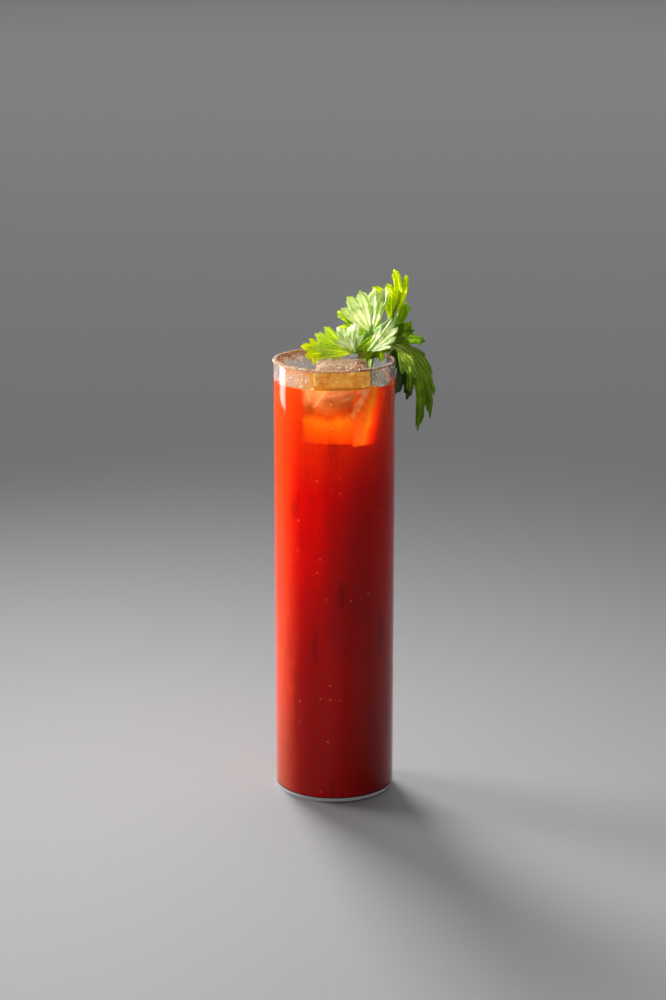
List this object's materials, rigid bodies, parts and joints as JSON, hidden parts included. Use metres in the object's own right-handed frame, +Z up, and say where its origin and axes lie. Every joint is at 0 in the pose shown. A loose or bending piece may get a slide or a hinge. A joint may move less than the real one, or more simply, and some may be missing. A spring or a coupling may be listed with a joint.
{
  "type": "bloody mary",
  "caption": "Tall straight glass of red tomato cocktail with a clear ice spear, a salt and pepper rim and a leafy celery sprig that drapes over the lip.",
  "frame": {"origin": "centre of the glass's underside, on the surface that it stands on", "axes": "+Z up along the glass's axis, -Y towards the viewer, +X to the side where the celery leans out over the lip"},
  "size_m": [0.0702, 0.0547, 0.2306],
  "materials": {
    "glass": "clear, fire-polished",
    "tomato_drink": "smooth opaque tomato juice, deep red and orange where it is thin",
    "ice": "clear melting ice",
    "celery_leaf": "fresh leaf, lighter underneath",
    "salt_crust": "coarse salt, pepper and chilli stuck to the lip",
    "salt_heap": "coarse salt, pepper and chilli on the end of the ice"
  },
  "bodies": {
    "root": {"glass": "glass", "drink": "tomato_drink", "ice_spear": "ice", "celery": "celery_leaf", "rim_seasoning": "salt_crust", "ice_seasoning": "salt_heap"}
  },
  "joints": []
}
